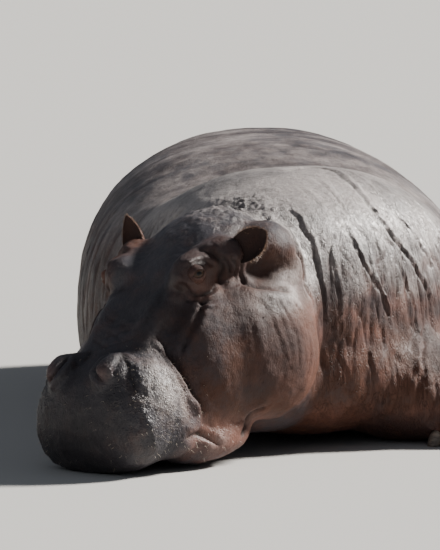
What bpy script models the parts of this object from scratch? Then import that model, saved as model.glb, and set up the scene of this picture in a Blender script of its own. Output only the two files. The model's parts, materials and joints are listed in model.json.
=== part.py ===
"""A hippopotamus lying on its belly, chin on the ground and head turned to its right.

Metres, +Z up. The animal faces -Y, so its left side is +X. It is shaped whole, as clay is: lofts for the
trunk, neck and head, ellipsoids for the muscles and tubes for the limbs, fused and smoothed. Thin cuts then
part the whole where a person would name its parts, and eyes, ears, tail and nails are seated in it.
"""

import math

import bmesh
import bpy
import numpy as np
from mathutils import Euler, Matrix, Vector

# ---------------------------------------------------------------------------------------------------------
# Driving dimensions

TRUNK_LENGTH = 2.10  # withers to buttocks
BACK_HEIGHT = 0.808  # highest point of the back, lying
WITHERS_HEIGHT = 0.775
BELLY_HALF_WIDTH = 0.615
LEFT_SLOPE = 0.50  # how much rounder the left side is than the right one, as a power of its section

HEAD_LENGTH = 0.75  # back of the jaw to the front of the muzzle
HEAD_YAW = math.radians(43.5)  # turned towards the animal's right
HEAD_PITCH = math.radians(12)  # nose down
HEAD_ROLL = math.radians(5)  # its right side lower
CHIN_SPOT = Vector((-0.533, -0.859, -0.007))  # where the chin meets the ground
CHIN_REACH = 0.64  # that spot's distance along the head

EYE_RADIUS = 0.024
EYE_PLACE = {1: Vector((0.340, 0.173, 0.473)), -1: Vector((0.340, -0.154, 0.473))}  # forward, left, up
MOUTH_CORNER = 0.27  # distance forward in the head
MOUTH_HEIGHT = 0.042
EAR_LENGTH = 0.118
EAR_WIDTH = 0.086
EAR_FULLEST = 0.42  # share of its length where it is widest
TAIL_LENGTH = 0.46

CUT_GAP = 0.0004  # between any two parts
CLAY_VOXEL = 0.0125
THIN_TO = 0.0162  # share of the fused triangles that is kept
THIN_FAVOUR = 0.0015  # how much of that share the head and feet take

SKIN_GREY = (0.16, 0.13, 0.125)
NAIL_HORN = (0.10, 0.085, 0.07)
EYE_BROWN = (0.035, 0.016, 0.008)


# ---------------------------------------------------------------------------------------------------------
# Scene, materials and small helpers


def clear_scene():
    for obj in list(bpy.data.objects):
        bpy.data.objects.remove(obj, do_unlink=True)


def new_collection(name, hidden=False):
    made = bpy.data.collections.new(name)
    bpy.context.scene.collection.children.link(made)
    made.hide_render = hidden
    return made


def new_material(name, colour, roughness):
    made = bpy.data.materials.new(name)
    made.use_nodes = True
    shader = made.node_tree.nodes["Principled BSDF"]
    shader.inputs["Base Color"].default_value = (*colour, 1.0)
    shader.inputs["Roughness"].default_value = roughness
    shader.inputs["Metallic"].default_value = 0.0
    return made


def new_object(name, clay, collection):
    """An object from a bmesh of closed shells."""
    mesh = bpy.data.meshes.new(name)
    clay.to_mesh(mesh)
    clay.free()
    made = bpy.data.objects.new(name, mesh)
    collection.objects.link(made)
    return made


def copy_of(obj, name, collection):
    made = bpy.data.objects.new(name, obj.data.copy())
    collection.objects.link(made)
    return made


def apply_modifiers(obj):
    bpy.context.view_layer.update()
    graph = bpy.context.evaluated_depsgraph_get()
    baked = bpy.data.meshes.new_from_object(obj.evaluated_get(graph))
    obj.modifiers.clear()
    obj.data = baked


def cut(obj, cutter, operation="DIFFERENCE"):
    cutter.display_type = "WIRE"
    cutter.hide_render = True
    made = obj.modifiers.new(cutter.name, "BOOLEAN")
    made.operation = operation
    made.object = cutter
    made.solver = "EXACT"
    apply_modifiers(obj)


def swollen(obj, gap, collection):
    """A copy that is larger all round by the gap, to cut a seat with."""
    made = copy_of(obj, "seat_of_" + obj.name, collection)
    grow = made.modifiers.new("grow", "DISPLACE")
    grow.strength = gap
    grow.mid_level = 0.0
    apply_modifiers(made)
    return made


def smooth_through(places, values, at):
    """Values at some places, read along a smooth curve through them."""
    places = np.asarray(places, float)
    values = np.asarray(values, float)
    slopes = np.gradient(values, places)
    index = np.clip(np.searchsorted(places, at) - 1, 0, len(places) - 2)
    span = places[index + 1] - places[index]
    t = (at - places[index]) / span
    start = values[index] * (2 * t**3 - 3 * t**2 + 1) + span * slopes[index] * (t**3 - 2 * t**2 + t)
    end = values[index + 1] * (3 * t**2 - 2 * t**3) + span * slopes[index + 1] * (t**3 - t**2)
    return start + end


# ---------------------------------------------------------------------------------------------------------
# Clay: closed shells gathered in one bmesh, which a voxel remesh then fuses


def add_loft(clay, rings):
    """A closed tube through rings of points, with its two ends filled."""
    made = [[clay.verts.new(p) for p in ring] for ring in rings]
    for back, front in zip(made, made[1:]):
        for i in range(len(back)):
            j = (i + 1) % len(back)
            clay.faces.new((back[i], back[j], front[j], front[i]))
    clay.faces.new(made[0][::-1])
    clay.faces.new(made[-1])


def unit_egg():
    """A ball of radius one, made once and placed many times."""
    name = "unit_egg"
    if name not in bpy.data.meshes:
        ball = bmesh.new()
        bmesh.ops.create_uvsphere(ball, u_segments=32, v_segments=18, radius=1.0)
        mesh = bpy.data.meshes.new(name)
        ball.to_mesh(mesh)
        ball.free()
    return bpy.data.meshes[name]


def add_egg(clay, centre, radii, turn=(0, 0, 0), frame=Matrix.Identity(4)):
    """An egg of flesh. turn is in degrees about X, Y and Z, and frame places it, for instance in the head."""
    before = len(clay.verts)
    clay.from_mesh(unit_egg())
    clay.verts.ensure_lookup_table()
    euler = Euler([math.radians(a) for a in turn])
    matrix = frame @ Matrix.LocRotScale(Vector(centre), euler, Vector(radii))
    for vert in clay.verts[before:]:
        vert.co = matrix @ vert.co


def add_limb(clay, joints):
    """Flesh along a limb: each joint is (x, y, z, radius), and balls overlap along each bone."""
    for (*start, thick), (*end, thin) in zip(joints, joints[1:]):
        start, end = Vector(start), Vector(end)
        steps = max(2, int((end - start).length / (0.4 * min(thick, thin))))
        for i in range(steps + 1):
            t = i / steps
            add_egg(clay, start.lerp(end, t), (thick + (thin - thick) * t,) * 3)


def power_ring(count, half_width, top, bottom, middle, upper_power, lower_power, pinch=0.0):
    """A superellipse as (across, up) pairs. pinch narrows its top, and middle is its widest height."""
    angles = np.linspace(0, 2 * math.pi, count, endpoint=False)
    cos, sin = np.cos(angles), np.sin(angles)
    power = np.where(sin > 0, 2 / upper_power, 2 / lower_power)
    across = half_width * np.sign(cos) * np.abs(cos) ** power
    up = middle + np.where(sin > 0, top - middle, middle - bottom) * np.sign(sin) * np.abs(sin) ** power
    share = np.clip((up - middle) / max(top - middle, 1e-6), 0, 1)
    return across * (1 - pinch * share), up


# ---------------------------------------------------------------------------------------------------------
# Trunk and neck

# Each station: y, sideways bend, half width, top, bottom, widest height
TRUNK_STATIONS = {
    "buttocks": (TRUNK_LENGTH, 0.0, 0.10, 0.55, 0.26, 0.42),
    "tail_root": (TRUNK_LENGTH - 0.05, 0.0, 0.27, 0.645, 0.13, 0.38),
    "rump": (TRUNK_LENGTH - 0.18, 0.0, 0.41, 0.715, 0.03, 0.34),
    "croup": (TRUNK_LENGTH - 0.46, 0.0, 0.515, 0.790, -0.02, 0.30),
    "loin": (TRUNK_LENGTH - 0.82, -0.005, 0.592, BACK_HEIGHT - 0.005, -0.03, 0.27),
    "barrel": (0.92, -0.010, BELLY_HALF_WIDTH, BACK_HEIGHT, -0.03, 0.27),
    "girth": (0.60, -0.008, 0.610, 0.797, -0.02, 0.28),
    "saddle": (0.36, -0.008, 0.586, 0.764, -0.02, 0.30),
    "shoulders": (0.14, 0.0, 0.535, 0.770, -0.01, 0.32),
    "withers": (-0.04, -0.005, 0.470, WITHERS_HEIGHT, 0.01, 0.34),
    "neck_root": (-0.17, -0.04, 0.395, 0.762, 0.03, 0.36),
    "neck": (-0.30, -0.10, 0.330, 0.728, 0.06, 0.38),
    "nape": (-0.40, -0.155, 0.250, 0.680, 0.14, 0.38),
    "inside_head": (-0.47, -0.19, 0.120, 0.560, 0.24, 0.38),
}
# Where the skin sinks beside the spine: x, y, reach across, reach along, depth
TRUNK_HOLLOWS = (
    (-0.26, 0.22, 0.20, 0.16, 0.050),  # behind the right shoulder, where the turned neck folds it
    (0.02, 0.40, 0.30, 0.13, 0.016),
)
NECK_TURN = 0.6 * HEAD_YAW  # of the last ring
NECK_TURN_LENGTH = 0.44


def hollow_depth(x, y):
    return sum(
        depth * math.exp(-(((x - cx) / rx) ** 2) - ((y - cy) / ry) ** 2)
        for cx, cy, rx, ry, depth in TRUNK_HOLLOWS
    )


def add_trunk_and_neck(clay, ring_count=64, ring_points=72):
    """The body leans on its right side a little, so its left side slopes off more from the back."""
    table = np.array(sorted(TRUNK_STATIONS.values()))
    ys = np.linspace(table[0, 0], table[-1, 0], ring_count)
    columns = [smooth_through(table[:, 0], table[:, k], ys) for k in range(1, 6)]
    rings = []
    for y, bend, width, top, bottom, middle in zip(ys, *columns):
        across, up = power_ring(ring_points, width, top, bottom, middle, 2.50, 3.4)
        sloping = 2.50 - LEFT_SLOPE * min(1.0, max(0.0, (y + 0.10) / 0.45))
        left_across, left_up = power_ring(ring_points, width, top, bottom, middle, sloping, 3.4)
        across, up = np.where(across > 0, left_across, across), np.where(across > 0, left_up, up)
        turn = NECK_TURN * min(1.0, max(0.0, -y / NECK_TURN_LENGTH))
        ring = [(bend + a * math.cos(turn), y - a * math.sin(turn), u) for a, u in zip(across, up)]
        rings.append([(px, py, pz - hollow_depth(px, py) * min(1.0, max(0.0, (pz - 0.3) / 0.3)))
                      for px, py, pz in ring])
    add_loft(clay, rings)


def add_trunk_muscles(clay):
    for side in (-1, 1):
        add_egg(clay, (side * 0.300, 0.20, 0.31), (0.225, 0.30, 0.31), (0, side * 10, 0))  # shoulder
        add_egg(clay, (side * 0.315, 1.58, 0.31), (0.225, 0.35, 0.33), (0, side * 8, 0))  # haunch
    add_egg(clay, (0.0, 1.44, 0.602), (0.30, 0.42, 0.200))  # croup
    add_egg(clay, (-0.050, -0.17, 0.575), (0.17, 0.30, 0.190), (11, 0, 28))  # crest of the neck
    add_egg(clay, (0.02, -0.25, 0.21), (0.34, 0.26, 0.19), (0, 0, 20))  # brisket
    add_egg(clay, (-0.13, -0.44, 0.20), (0.25, 0.18, 0.15), (0, 0, 40))  # throat
    add_egg(clay, (0.30, -0.16, 0.15), (0.20, 0.24, 0.165))  # chest beside the elbow


# ---------------------------------------------------------------------------------------------------------
# Head. Its own frame runs forward, left and up from below the back of the jaw

# Each station: forward, half width, top, bottom, widest height, pinch of the top, upper and lower power
HEAD_STATIONS = {
    "neck_end": (-0.12, 0.190, 0.500, 0.140, 0.30, 0.10, 2.2, 2.2),
    "jaw_back": (-0.02, 0.235, 0.555, 0.060, 0.28, 0.18, 2.3, 2.4),
    "poll": (0.10, 0.262, 0.580, 0.014, 0.26, 0.28, 2.4, 2.5),
    "ears": (0.21, 0.262, 0.560, 0.000, 0.24, 0.34, 2.5, 2.6),
    "brow": (0.30, 0.248, 0.512, 0.000, 0.22, 0.36, 2.5, 2.6),
    "eyes": (0.37, 0.228, 0.462, 0.006, 0.20, 0.36, 2.5, 2.7),
    "bridge": (0.44, 0.208, 0.414, 0.010, 0.18, 0.36, 2.5, 2.7),
    "waist": (0.50, 0.198, 0.376, 0.010, 0.16, 0.32, 2.4, 2.7),
    "lip_back": (0.56, 0.200, 0.342, 0.006, 0.15, 0.22, 2.5, 2.7),
    "lip_pads": (0.63, 0.213, 0.312, 0.002, 0.15, 0.13, 2.7, 2.7),
    "nostrils": (0.69, 0.202, 0.280, 0.012, 0.14, 0.10, 2.7, 2.6),
    "lip_front": (0.73, 0.155, 0.228, 0.045, 0.13, 0.10, 2.5, 2.5),
    "nose_tip": (HEAD_LENGTH, 0.075, 0.165, 0.085, 0.125, 0.0, 2.2, 2.2),
}


def head_frame():
    """Takes (forward, left, up) in the head to the world, with the chin on the ground."""
    turned = Matrix.Rotation(-HEAD_YAW, 4, "Z")
    pitched = Matrix.Rotation(HEAD_PITCH, 4, "X")
    rolled = Matrix.Rotation(-HEAD_ROLL, 4, "Y")
    axes = Matrix(((0, 1, 0, 0), (-1, 0, 0, 0), (0, 0, 1, 0), (0, 0, 0, 1)))
    turn = turned @ pitched @ rolled @ axes
    return Matrix.Translation(CHIN_SPOT - turn @ Vector((CHIN_REACH, 0.0, 0.0))) @ turn


def add_head(clay, frame, ring_count=60, ring_points=64):
    table = np.array(sorted(HEAD_STATIONS.values()))
    along = np.linspace(table[0, 0], table[-1, 0], ring_count)
    columns = [smooth_through(table[:, 0], table[:, k], along) for k in range(1, 8)]
    rings = []
    for forward, width, top, bottom, middle, pinch, upper, lower in zip(along, *columns):
        across, up = power_ring(ring_points, width, top, bottom, middle, upper, lower, pinch)
        rings.append([frame @ Vector((forward, a, u)) for a, u in zip(across, up)])
    add_loft(clay, rings)


def add_head_muscles(clay, frame):
    for side in (-1, 1):
        add_egg(clay, (0.135, side * 0.158, 0.215), (0.195, 0.135, 0.215), (0, 14, side * 2), frame)  # jowl
        add_egg(clay, (0.285, side * 0.160, 0.235), (0.205, 0.098, 0.185), (0, 20, side * -2), frame)  # cheek
        add_egg(clay, (0.210, side * 0.165, 0.225), (0.150, 0.122, 0.200), (0, 16, 0), frame)  # between the two
        mound = EYE_PLACE[side] - Vector((0.013, side * 0.040, 0.006))
        add_egg(clay, mound, (0.062, 0.057, 0.062), (0, 0, 0), frame)
        add_egg(clay, (0.275, side * 0.130, 0.482), (0.085, 0.056, 0.050), (0, 18, 0), frame)  # brow to ear
        add_egg(clay, (0.205, side * 0.168, 0.490), (0.060, 0.058, 0.056), (0, 0, 0), frame)  # ear root
        add_egg(clay, (0.440, side * 0.082, 0.382), (0.110, 0.044, 0.040), (0, 32, side * -4), frame)  # ridge
        add_egg(clay, (0.648, side * 0.086, 0.291), (0.070, 0.050, 0.047), (0, 16, side * -14), frame)  # nostril
        add_egg(clay, (0.572, side * 0.130, 0.168), (0.122, 0.086, 0.142), (0, 16, side * 3), frame)  # lip pad
        add_egg(clay, (0.535, side * 0.131, 0.102), (0.098, 0.085, 0.092), (0, 0, 0), frame)  # hanging lip
        add_egg(clay, (0.375, side * 0.105, 0.020), (0.165, 0.100, 0.068), (0, -4, 0), frame)  # lower lip
        add_egg(clay, (0.040, side * 0.150, 0.420), (0.120, 0.100, 0.120), (0, 0, 0), frame)  # neck roll
    add_egg(clay, (0.13, 0.0, 0.508), (0.160, 0.150, 0.078), (0, 12, 0), frame)  # forehead
    add_egg(clay, (0.50, 0.0, 0.055), (0.180, 0.165, 0.058), (0, 0, 0), frame)  # chin


# ---------------------------------------------------------------------------------------------------------
# Limbs


def foreleg_joints(side):
    """Shoulder, elbow, wrist and foot as (x, y, z, radius). The right leg is drawn back, clear of the head."""
    if side > 0:
        return [(0.34, 0.20, 0.32, 0.18), (0.455, 0.12, 0.16, 0.145), (0.470, -0.17, 0.090, 0.100),
                (0.470, -0.30, 0.070, 0.088)]
    return [(-0.34, 0.24, 0.32, 0.18), (-0.455, 0.32, 0.16, 0.145), (-0.485, 0.06, 0.090, 0.100),
            (-0.495, -0.060, 0.070, 0.088)]


def hindleg_joints(side):
    """Hip, knee, hock and foot. The foot points forward under the knee."""
    return [(side * 0.34, 1.66, 0.36, 0.21), (side * 0.460, 1.36, 0.24, 0.155), (side * 0.440, 1.78, 0.115, 0.105),
            (side * 0.520, 1.47, 0.076, 0.084), (side * 0.540, 1.35, 0.064, 0.080)]


def toe_frames(joints, spread=0.078):
    """Four toes in an arc round the front of the foot, as frames with +X forwards and the floor at zero."""
    ankle, foot = Vector(joints[-2][:3]), Vector(joints[-1][:3])
    ahead = math.atan2(foot.y - ankle.y, foot.x - ankle.x)
    frames = []
    for angle in (-60, -20, 20, 60):
        turn = Matrix.Rotation(ahead + math.radians(angle), 4, "Z")
        frames.append(Matrix.Translation((foot.x, foot.y, 0)) @ turn @ Matrix.Translation((spread, 0, 0)))
    return frames


def add_foot(clay, joints):
    foot = Vector(joints[-1][:3])
    add_egg(clay, (foot.x, foot.y, 0.054), (0.104, 0.104, 0.068))
    for frame in toe_frames(joints):
        add_egg(clay, (0, 0, 0.040), (0.042, 0.036, 0.046), (0, 0, 0), frame)


def nail(name, frame, collection):
    """A hoof-like nail over the front of a toe, flat underneath."""
    clay = bmesh.new()
    matrix = frame @ Matrix.LocRotScale(Vector((0.021, 0, 0.018)), Euler((0, math.radians(-24), 0)),
                                        Vector((0.027, 0.027, 0.036)))
    bmesh.ops.create_uvsphere(clay, u_segments=8, v_segments=4, radius=1.0, matrix=matrix)
    low = bmesh.ops.bisect_plane(
        clay, geom=clay.verts[:] + clay.edges[:] + clay.faces[:], plane_co=(0, 0, 0), plane_no=(0, 0, -1),
        clear_outer=True,
    )
    bmesh.ops.holes_fill(clay, edges=[e for e in low["geom_cut"] if isinstance(e, bmesh.types.BMEdge)])
    return new_object(name, clay, collection)


# ---------------------------------------------------------------------------------------------------------
# Ears, eyes and tail


def ear_frame(side):
    """The ear's own frame in the head: +X along the ear, +Y across it, +Z out of the open cup."""
    if side > 0:  # laid out sideways, open forwards
        along, open_to = Vector((-0.16, 0.87, 0.40)), Vector((0.86, 0.25, 0.10))
        root = Vector((0.200, 0.203, 0.495))
    else:  # pricked
        along, open_to = Vector((-0.33, -0.19, 0.90)), Vector((0.88, -0.10, 0.40))
        root = Vector((0.215, -0.182, 0.497))
    x = along.normalized()
    z = (open_to - x * open_to.dot(x)).normalized()
    y = z.cross(x)
    turn = Matrix((x, y, z)).transposed().to_4x4()
    return Matrix.Translation(root) @ turn


def ear(name, side, frame, collection, rings=9, arc=7):
    """A cupped leaf: each ring is a crescent, an outer arc with a shallower arc inside it."""
    matrix = frame @ ear_frame(side)
    clay = bmesh.new()
    shape = []
    for i in range(rings):
        t = i / (rings - 1)
        shape_of = 1 - 0.42 * (1 - t / EAR_FULLEST) ** 2 if t < EAR_FULLEST else (
            max(0.04, 1 - ((t - EAR_FULLEST) / (1 - EAR_FULLEST)) ** 2) ** 0.72)
        width = 0.5 * EAR_WIDTH * shape_of
        depth = width * (0.85 - 0.35 * t)
        wall = 0.011 - 0.005 * t
        hollow = max(0.0, depth - wall) * min(1.0, t * 2.2)
        along = -0.03 + (EAR_LENGTH + 0.03) * t
        lean = 0.012 * math.sin(math.pi * t)
        outer = [(width * math.cos(a), -depth * math.sin(a)) for a in np.linspace(0, math.pi, arc)]
        inner = [((width - 0.4 * wall) * math.cos(a), -hollow * math.sin(a) + 0.003)
                 for a in np.linspace(math.pi, 0, arc)]
        shape.append([matrix @ Vector((along, a, b - lean)) for a, b in outer + inner])
    add_loft(clay, shape)
    bmesh.ops.recalc_face_normals(clay, faces=clay.faces)
    return new_object(name, clay, collection)


def eye(name, side, frame, collection):
    clay = bmesh.new()
    bmesh.ops.create_uvsphere(
        clay, u_segments=12, v_segments=8, radius=EYE_RADIUS, matrix=frame @ Matrix.Translation(EYE_PLACE[side])
    )
    return new_object(name, clay, collection)


def tail(name, collection, rings=10, ring_points=10):
    """A short flattened tail that hangs down the rump."""
    clay = bmesh.new()
    shape = []
    for i in range(rings):
        t = i / (rings - 1)
        y = TRUNK_LENGTH - 0.075 + 0.105 * math.sin(0.5 * math.pi * min(1, 1.6 * t)) + 0.015 * t
        z = 0.645 - TAIL_LENGTH * t**1.15
        wide, thick = 0.046 * (1 - t) + 0.014, 0.034 * (1 - t) ** 0.8 + 0.008
        lean = math.radians(62) * (1 - min(1, 1.8 * t))
        ring = []
        for k in range(ring_points):
            a = 2 * math.pi * k / ring_points
            out = thick * math.sin(a)
            ring.append((wide * math.cos(a), y + out * math.cos(lean), z + out * math.sin(lean)))
        shape.append(ring)
    add_loft(clay, shape)
    bmesh.ops.recalc_face_normals(clay, faces=clay.faces)
    return new_object(name, clay, collection)


# ---------------------------------------------------------------------------------------------------------
# The whole animal, fused, smoothed and thinned to the triangles that its parts may use


def weigh(obj, name, weights):
    group = obj.vertex_groups.new(name=name)
    for index, weight in enumerate(weights):
        group.add([index], float(weight), "REPLACE")


def headness(obj, frame):
    """One over the head, falling to nothing at the shoulders; the feet count too."""
    back = frame.inverted()
    count = len(obj.data.vertices)
    places = np.empty(count * 3)
    obj.data.vertices.foreach_get("co", places)
    places = places.reshape(-1, 3)
    turned = np.array(back.to_3x3()) @ places.T + np.array(back.translation)[:, None]
    near_head = np.clip((turned[0] + 0.20) / 0.20, 0, 1)
    near_head[places[:, 1] > 0.0] = 0.0
    low = np.clip((0.16 - places[:, 2]) / 0.06, 0, 1) * (np.abs(places[:, 0]) > 0.36)
    return np.maximum(near_head, 0.6 * low)


def whole_body(frame, collection):
    clay = bmesh.new()
    add_trunk_and_neck(clay)
    add_trunk_muscles(clay)
    add_head(clay, frame)
    add_head_muscles(clay, frame)
    for side in (-1, 1):
        for joints in (foreleg_joints(side), hindleg_joints(side)):
            add_limb(clay, joints)
            add_foot(clay, joints)
    whole = new_object("whole", clay, collection)
    fuse = whole.modifiers.new("fuse", "REMESH")
    fuse.mode = "VOXEL"
    fuse.voxel_size = CLAY_VOXEL
    apply_modifiers(whole)
    fine = headness(whole, frame)
    weigh(whole, "broad", 1 - fine)
    weigh(whole, "plain", 1 - 0.9 * fine)
    soften = whole.modifiers.new("soften", "SMOOTH")
    soften.factor = 0.5
    soften.iterations = 5
    relax = whole.modifiers.new("relax", "SMOOTH")
    relax.factor = 0.5
    relax.iterations = 70
    relax.vertex_group = "broad"
    thin = whole.modifiers.new("thin", "DECIMATE")
    thin.ratio = THIN_TO
    thin.vertex_group = "plain"
    thin.vertex_group_factor = THIN_FAVOUR
    thin.use_collapse_triangulate = True
    apply_modifiers(whole)
    whole.vertex_groups.clear()
    return whole


# ---------------------------------------------------------------------------------------------------------
# Cuts


def box(name, low, high, collection, frame=Matrix.Identity(4)):
    low, high = Vector(low), Vector(high)
    clay = bmesh.new()
    matrix = frame @ Matrix.LocRotScale((low + high) / 2, None, high - low)
    bmesh.ops.create_cube(clay, size=1.0, matrix=matrix)
    return new_object(name, clay, collection)


def ball(name, centre, radii, collection):
    clay = bmesh.new()
    matrix = Matrix.LocRotScale(Vector(centre), None, Vector(radii))
    bmesh.ops.create_uvsphere(clay, u_segments=14, v_segments=8, radius=1.0, matrix=matrix)
    return new_object(name, clay, collection)


def drum(name, centre, radius, depth, side, collection):
    """A cylinder across the animal, from a depth inside it outwards."""
    clay = bmesh.new()
    place = Vector((side * (depth + 0.6), centre[0], centre[1]))
    matrix = Matrix.Translation(place) @ Matrix.Rotation(math.radians(90), 4, "Y")
    bmesh.ops.create_cone(
        clay, cap_ends=True, segments=28, radius1=radius, radius2=radius, depth=1.2, matrix=matrix
    )
    return new_object(name, clay, collection)


def part_off(whole, name, region, parts, helpers):
    """Takes the region's share of the whole as a new part, a cut's width clear of the rest."""
    made = copy_of(whole, name, parts)
    cut(made, region, "INTERSECT")
    cut(whole, swollen(region, CUT_GAP, helpers))
    return made


def seat(part, hosts, helpers, gap=CUT_GAP):
    """Cuts each host so that the part sits in it, clear all round."""
    room = swollen(part, gap, helpers)
    for host in hosts:
        cut(host, room)


def build():
    clear_scene()
    parts = new_collection("hippopotamus")
    helpers = new_collection("cutters", hidden=True)
    frame = head_frame()
    whole = whole_body(frame, helpers)
    cut(whole, box("floor", (-3, -3, -1), (3, 4, 0), helpers))

    made = {}
    for side, word in ((1, "left"), (-1, "right")):
        fore, hind = foreleg_joints(side), hindleg_joints(side)
        for kind, joints, centre, radius, depth in (
            ("fore", fore, (fore[1][1] - 0.205, 0.12), 0.365, 0.365),
            ("hind", hind, (1.58, 0.14), 0.385, 0.395),
        ):
            ankle, foot = Vector(joints[-2][:3]), Vector(joints[-1][:3])
            turn = Matrix.Rotation(math.atan2(foot.y - ankle.y, foot.x - ankle.x), 4, "Z")
            middle = (ankle + foot) / 2
            if kind == "fore":
                wrist = Matrix.Translation((middle.x, middle.y, 0)) @ turn
                region = box(f"wrist_{word}", (0, -0.128, -0.3), (0.25, 0.128, 0.175), helpers, wrist)
            else:
                region = ball(f"ankle_{word}", (foot.x, foot.y - 0.01, 0.02), (0.150, 0.160, 0.140), helpers)
            made[f"{kind}foot_{word}"] = part_off(whole, f"{kind}foot_{word}", region, parts, helpers)
            region = drum(f"{kind}_{word}_region", centre, radius, depth, side, helpers)
            made[f"{kind}leg_{word}"] = part_off(whole, f"{kind}leg_{word}", region, parts, helpers)
            for i, toe in enumerate(toe_frames(joints)):
                horn = nail(f"nail_{kind}_{word}_{i + 1}", toe, parts)
                seat(horn, [made[f"{kind}foot_{word}"]], helpers)
                made[horn.name] = horn

    tip = tail("tail", parts)
    seat(tip, [whole], helpers)
    made["tail"] = tip
    skull = box("head_region", (-0.035, -1.0, -1.0), (1.2, 1.0, 1.0), helpers, frame)
    head = part_off(whole, "head", skull, parts, helpers)
    mouth = box("mouth_region", (MOUTH_CORNER, -1.0, -1.0), (1.2, 1.0, MOUTH_HEIGHT), helpers, frame)
    made["lower_jaw"] = part_off(head, "lower_jaw", mouth, parts, helpers)
    neck_frame = Matrix.Translation((0, -0.03, 0)) @ Matrix.Rotation(math.radians(-10), 4, "Z")
    collar = box("neck_region", (-1.0, -1.0, -1.0), (1.0, 0.0, 2.0), helpers, neck_frame)
    made["neck"] = part_off(whole, "neck", collar, parts, helpers)
    trunk = copy_of(whole, "trunk", parts)
    for side, word in ((1, "left"), (-1, "right")):
        made[f"eye_{word}"] = eye(f"eye_{word}", side, frame, parts)
        seat(made[f"eye_{word}"], [head], helpers)
        made[f"ear_{word}"] = ear(f"ear_{word}", side, frame, parts)
        seat(made[f"ear_{word}"], [head], helpers, 4 * CUT_GAP)
    made["head"], made["trunk"] = head, trunk
    return made, parts


def stand_on_origin(made):
    """Puts the middle of the animal's bounding box over the origin."""
    corners = np.array([v.co for obj in made.values() for v in obj.data.vertices])
    middle = (corners.min(axis=0) + corners.max(axis=0)) / 2
    for obj in made.values():
        obj.data.transform(Matrix.Translation((-middle[0], -middle[1], 0)))


def main():
    made, _ = build()
    stand_on_origin(made)
    skin = new_material("skin", SKIN_GREY, 0.55)
    horn = new_material("nails", NAIL_HORN, 0.45)
    gloss = new_material("eyes", EYE_BROWN, 0.08)
    for name, obj in made.items():
        obj.data.materials.clear()
        obj.data.materials.append(horn if name.startswith("nail") else gloss if name.startswith("eye") else skin)


if __name__ == "__main__":
    main()
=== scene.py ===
# %% [markdown]
# # A hippopotamus lying on its belly
# A museum's life-size model of a hippopotamus that rests its chin on the ground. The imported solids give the
# outline and the sizes. This script puts one skin over the flesh, sculpts its folds, and adds lids, eyes,
# nails, bristles, the light and the camera. Metres, +Z up; the animal faces -Y, and its left side is +X.

import json
import math
from types import SimpleNamespace

import bmesh
import bpy
import numpy as np
from mathutils import Matrix, Vector, kdtree, noise

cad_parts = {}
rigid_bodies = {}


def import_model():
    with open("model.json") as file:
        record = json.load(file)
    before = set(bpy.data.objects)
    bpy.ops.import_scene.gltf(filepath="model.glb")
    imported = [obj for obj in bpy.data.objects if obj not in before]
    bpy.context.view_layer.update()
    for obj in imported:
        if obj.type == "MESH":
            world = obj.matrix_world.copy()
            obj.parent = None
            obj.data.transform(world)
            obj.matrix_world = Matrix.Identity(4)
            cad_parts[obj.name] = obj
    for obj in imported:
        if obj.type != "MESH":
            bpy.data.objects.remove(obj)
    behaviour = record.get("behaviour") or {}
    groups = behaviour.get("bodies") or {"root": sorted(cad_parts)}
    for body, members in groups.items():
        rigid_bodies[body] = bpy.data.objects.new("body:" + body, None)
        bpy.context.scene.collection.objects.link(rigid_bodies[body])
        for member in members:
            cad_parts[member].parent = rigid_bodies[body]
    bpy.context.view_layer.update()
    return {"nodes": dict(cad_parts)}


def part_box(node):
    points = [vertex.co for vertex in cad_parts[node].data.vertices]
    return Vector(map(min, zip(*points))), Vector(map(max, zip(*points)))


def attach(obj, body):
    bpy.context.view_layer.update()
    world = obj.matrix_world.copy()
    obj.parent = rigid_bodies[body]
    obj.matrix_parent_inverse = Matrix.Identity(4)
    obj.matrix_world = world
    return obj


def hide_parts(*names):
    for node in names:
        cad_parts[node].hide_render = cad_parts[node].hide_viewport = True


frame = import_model()
nodes = frame["nodes"]

# %% [markdown]
# ## The head's own frame
# Folds and lids are easiest to place in a frame that is fixed to the skull: forward along the muzzle, to the
# left, and up. The head is turned, tipped nose down and rolled a little. The solids don't name this frame,
# but its turn is known, and the centre of the left eye fixes its place.

# %% The head's frame
HEAD_YAW = math.radians(43.5)
HEAD_PITCH = math.radians(12)
HEAD_ROLL = math.radians(5)
EYE_PLACE = {1: Vector((0.340, 0.173, 0.473)), -1: Vector((0.340, -0.154, 0.473))}  # forward, left, up


def middle(node):
    low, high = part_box(node)
    return (Vector(low) + Vector(high)) / 2


head_turn = (
    Matrix.Rotation(-HEAD_YAW, 4, "Z")
    @ Matrix.Rotation(HEAD_PITCH, 4, "X")
    @ Matrix.Rotation(-HEAD_ROLL, 4, "Y")
    @ Matrix(((0, 1, 0, 0), (-1, 0, 0, 0), (0, 0, 1, 0), (0, 0, 0, 1)))
)
HEAD = Matrix.Translation(middle("eye_left") - head_turn @ EYE_PLACE[1]) @ head_turn
HEAD_BACK = HEAD.inverted()
CHIN_SPOT = Vector((-0.533, -0.859, -0.007))  # where the chin rests, in the body's frame: y from the withers
CHIN_REACH = 0.64
BODY_START = HEAD.translation - (CHIN_SPOT - head_turn.to_3x3() @ Vector((CHIN_REACH, 0, 0)))
BODY = Matrix.Translation(BODY_START)
print("withers at", [round(c, 3) for c in BODY_START])
print("right eye in the head:", [round(c, 3) for c in HEAD_BACK @ middle("eye_right")])


def head_places(places):
    """World places as forward, left and up in the head."""
    turn = np.array(HEAD_BACK.to_3x3())
    return places @ turn.T + np.array(HEAD_BACK.translation)


# %% [markdown]
# ## Helpers for arrays
# A sculpted skin has over a hundred thousand vertices, so its places are handled as numpy arrays, read from
# and written to the mesh in one go.

# %% Reading and writing a mesh
def read_vectors(items, name):
    values = np.empty(len(items) * 3, np.float32)
    items.foreach_get(name, values)
    return values.reshape(-1, 3).astype(np.float64)


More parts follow.
